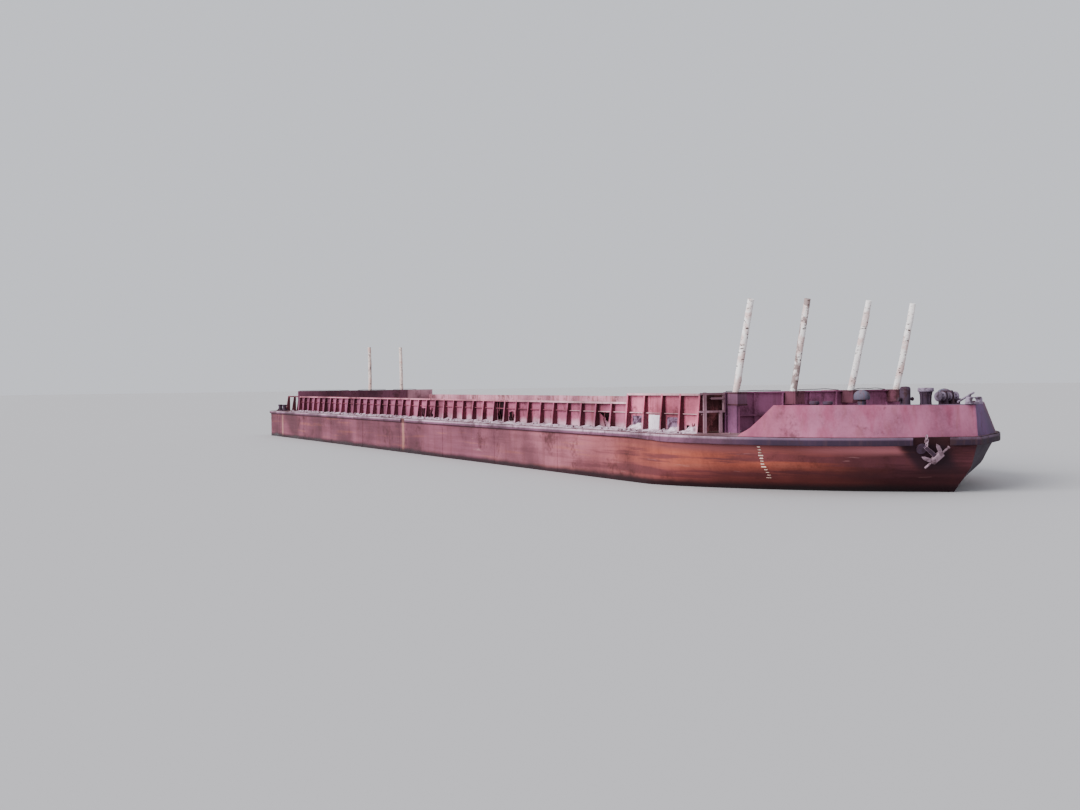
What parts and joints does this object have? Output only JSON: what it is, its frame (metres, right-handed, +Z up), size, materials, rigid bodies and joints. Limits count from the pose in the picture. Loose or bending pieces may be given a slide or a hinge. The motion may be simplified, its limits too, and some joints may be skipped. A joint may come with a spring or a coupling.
{
  "type": "river cargo vessel, 1:2 scale model",
  "caption": "River deck barge with an open cargo box between stiffened walls, timber stakes in end pockets, raked bow with bulwark, hand windlass, capstan, anchor, bollards and hinged deck hatches",
  "frame": {"origin": "under the middle of the length and the breadth over the rub rails, at the height of the flat bottom", "axes": "+X to the bow, +Y to port, +Z up"},
  "size_m": [28.14, 6.19, 3.4566],
  "materials": {
    "hull_paint": "chalky red-brown paint with rust",
    "rail_paint": "worn pale grey paint",
    "wall_paint": "faded red paint, peeling",
    "bulkhead_paint": "dark red-brown paint",
    "gear_paint": "dark weathered iron",
    "vent_paint": "chalky white paint",
    "timber": "bare peeled trunk"
  },
  "bodies": {
    "barge": {"hull": "hull_paint", "rub_rail_stern": "rail_paint", "rub_rail_starboard_aft": "rail_paint", "rub_rail_starboard_mid": "rail_paint", "rub_rail_starboard_fore": "rail_paint", "rub_rail_port_aft": "rail_paint", "rub_rail_port_fore": "rail_paint", "rub_rail_starboard_bow": "rail_paint", "rub_rail_port_bow": "rail_paint", "cargo_floor": "bulkhead_paint", "cargo_wall_starboard": "wall_paint", "cargo_wall_port": "wall_paint", "bulkhead_fore": "bulkhead_paint", "bulkhead_aft": "bulkhead_paint", "open_frame_fore_starboard": "wall_paint", "open_frame_aft_starboard": "wall_paint", "open_frame_aft_port": "wall_paint", "stake_pocket_fore_1": "bulkhead_paint", "stake_pocket_fore_2": "bulkhead_paint", "stake_pocket_fore_3": "bulkhead_paint", "stake_pocket_fore_4": "bulkhead_paint", "stake_pocket_aft_1": "bulkhead_paint", "stake_pocket_aft_2": "bulkhead_paint", "stake_fore_1": "timber", "stake_fore_2": "timber", "stake_fore_3": "timber", "stake_fore_4": "timber", "stake_aft_1": "timber", "stake_aft_2": "timber", "bow_bulwark": "wall_paint", "stem_fairlead": "rail_paint", "capstan_pedestal": "gear_paint", "windlass_frame": "gear_paint", "bollards_fore_starboard": "gear_paint", "bollards_fore_port": "gear_paint", "bollards_aft_starboard": "gear_paint", "bollards_aft_port": "gear_paint", "fore_hatch_coaming": "gear_paint", "aft_hatch_coaming": "gear_paint", "ventilator_fore_starboard": "vent_paint", "ventilator_fore_port": "vent_paint", "towing_post": "gear_paint", "hawse_lip_starboard": "gear_paint", "anchor_starboard": "gear_paint"},
    "windlass": {"windlass_shaft": "gear_paint"},
    "capstan": {"capstan_drum": "gear_paint"},
    "fore_hatch": {"fore_hatch_lid": "bulkhead_paint"},
    "aft_hatch": {"aft_hatch_lid": "bulkhead_paint"}
  },
  "joints": [
    {"name": "windlass_turn", "type": "hinge", "parent": "barge", "child": "windlass", "pos_m": [12.95, 0.55, 1.725], "axis": [0, 1, 0], "continuous": true},
    {"name": "capstan_turn", "type": "hinge", "parent": "barge", "child": "capstan", "pos_m": [13, 0, 1.6], "axis": [0, 0, 1], "continuous": true},
    {"name": "fore_hatch_hinge", "type": "hinge", "parent": "barge", "child": "fore_hatch", "pos_m": [11.28, 0.3, 1.3003], "axis": [0, -1, 0], "range_deg": [0, 100]},
    {"name": "aft_hatch_hinge", "type": "hinge", "parent": "barge", "child": "aft_hatch", "pos_m": [-13.37, 0, 1.3003], "axis": [0, -1, 0], "range_deg": [0, 100]}
  ]
}
